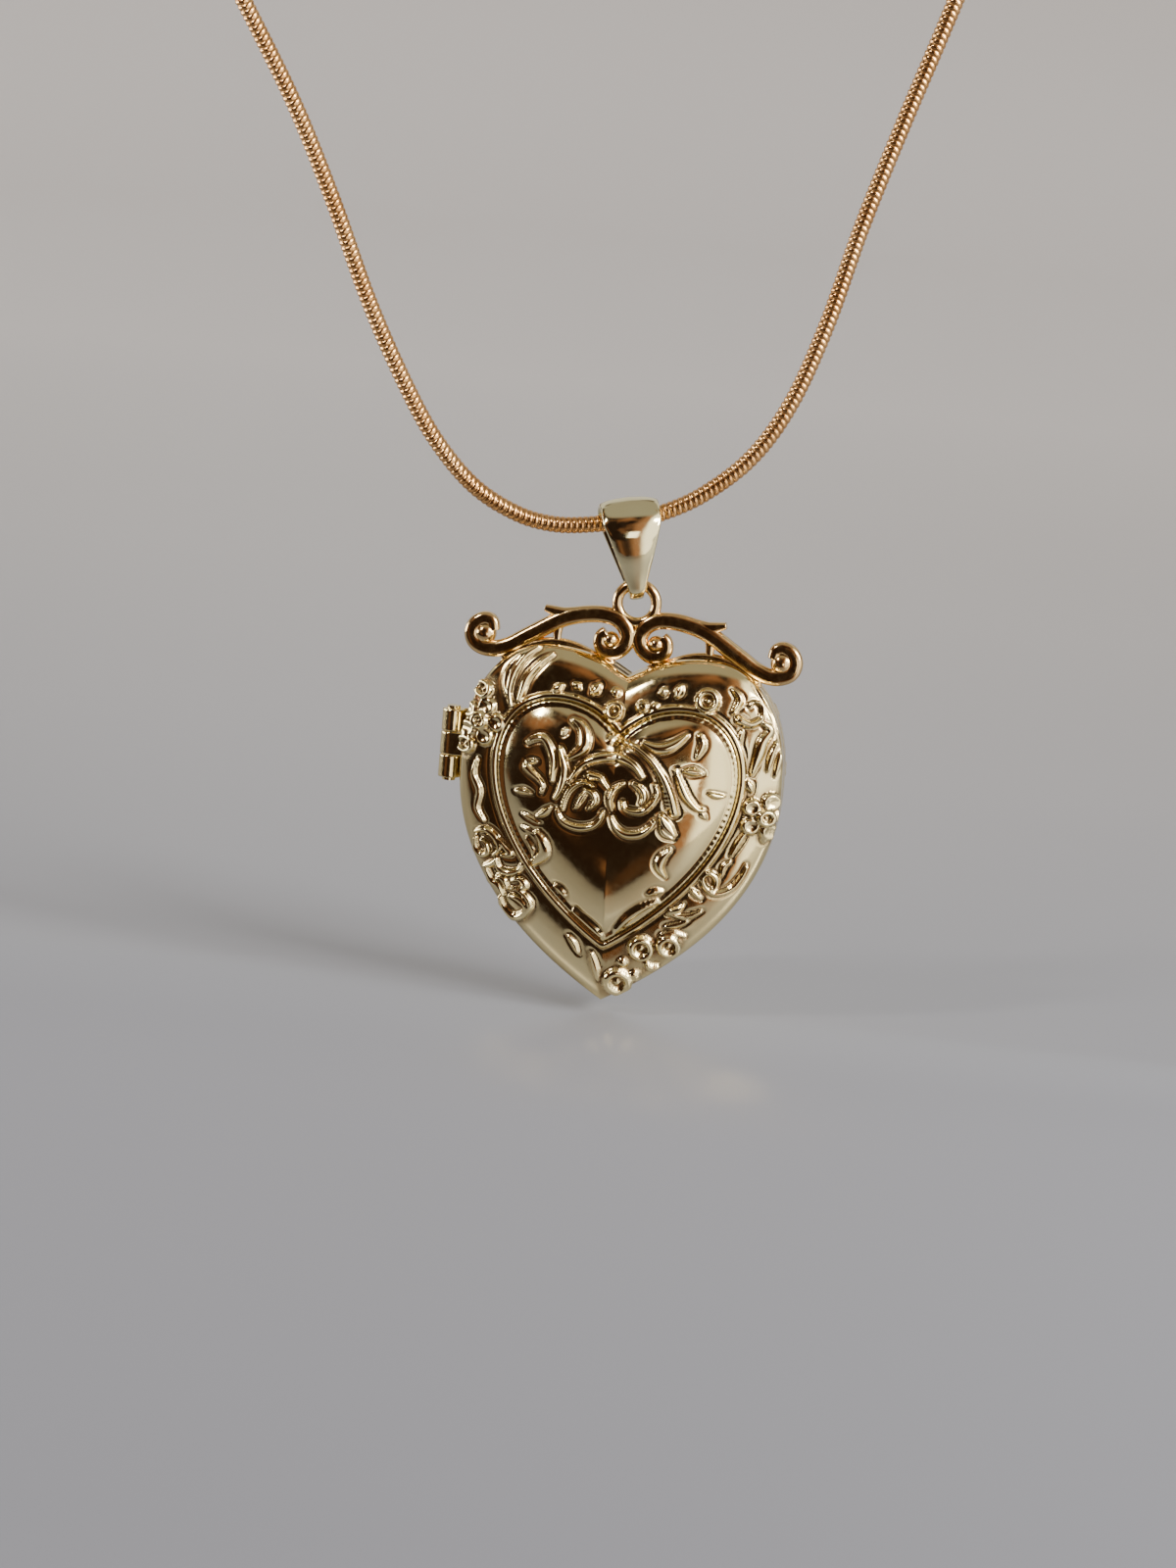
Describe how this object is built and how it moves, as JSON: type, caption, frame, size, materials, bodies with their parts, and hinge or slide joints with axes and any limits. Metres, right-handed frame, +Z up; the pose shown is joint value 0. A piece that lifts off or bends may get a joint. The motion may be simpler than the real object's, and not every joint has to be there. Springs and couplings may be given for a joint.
{
  "type": "locket",
  "caption": "Puffed heart locket that opens on a side hinge, with a scrolled crown, a tapered bail, photo frames inside and a snake chain.",
  "frame": {"origin": "middle of the chain inside the bail, where the chain carries the pendant", "axes": "+X to the viewer's right when the front is faced, -Y out of the front of the locket, +Z up along the heart's height"},
  "size_m": [0.0751, 0.0104, 0.0973],
  "materials": {
    "gold_plate": "polished pale gold plate",
    "crown_gold": "polished cast gold plate",
    "bail_gold": "polished pale gold plate",
    "chain_copper": "polished rose gold plate",
    "spring_steel": "satin",
    "window_film": "clear film",
    "photo_paper": "matt card"
  },
  "bodies": {
    "chain": {"snake_chain": "chain_copper", "end_cap_left": "chain_copper", "end_cap_right": "chain_copper", "jump_ring_left": "chain_copper", "jump_ring_right": "chain_copper", "end_tag": "chain_copper", "clasp_body": "chain_copper", "clasp_rivet": "chain_copper", "clasp_spring": "spring_steel"},
    "clasp_lever": {"clasp_lever": "chain_copper"},
    "bail": {"bail_band": "bail_gold"},
    "locket_back": {"back_shell": "gold_plate", "back_inner_rim": "gold_plate", "back_photo_bezel": "gold_plate", "back_photo_window": "window_film", "back_photo_card": "photo_paper", "crown_scrollwork": "crown_gold", "crown_eyelet": "crown_gold", "hinge_knuckles_back": "gold_plate", "hinge_pin": "gold_plate", "catch_striker": "gold_plate"},
    "front_cover": {"front_shell": "gold_plate", "front_photo_bezel": "gold_plate", "front_photo_window": "window_film", "front_photo_card": "photo_paper", "hinge_knuckle_front": "gold_plate", "catch_tongue": "gold_plate"}
  },
  "joints": [
    {"name": "clasp_lever_pull", "type": "hinge", "parent": "chain", "child": "clasp_lever", "pos_m": [-0.04179, 0, 0.0529], "axis": [0, -1, 0], "range_deg": [0, 20], "stiffness_Nm_per_rad": 0.0005, "springref_deg": -11.46},
    {"name": "bail_swing", "type": "hinge", "parent": "chain", "child": "bail", "pos_m": [0, 0, 0], "axis": [0.9652, 0, 0.2614], "range_deg": [-60, 60]},
    {"name": "locket_swing", "type": "hinge", "parent": "bail", "child": "locket_back", "pos_m": [0.0012, 0, -0.00679], "axis": [0, 1, 0], "range_deg": [-25, 25]},
    {"name": "cover_open", "type": "hinge", "parent": "locket_back", "child": "front_cover", "pos_m": [-0.0132, 0, -0.01989], "axis": [0, 0, -1], "range_deg": [0, 150]}
  ]
}
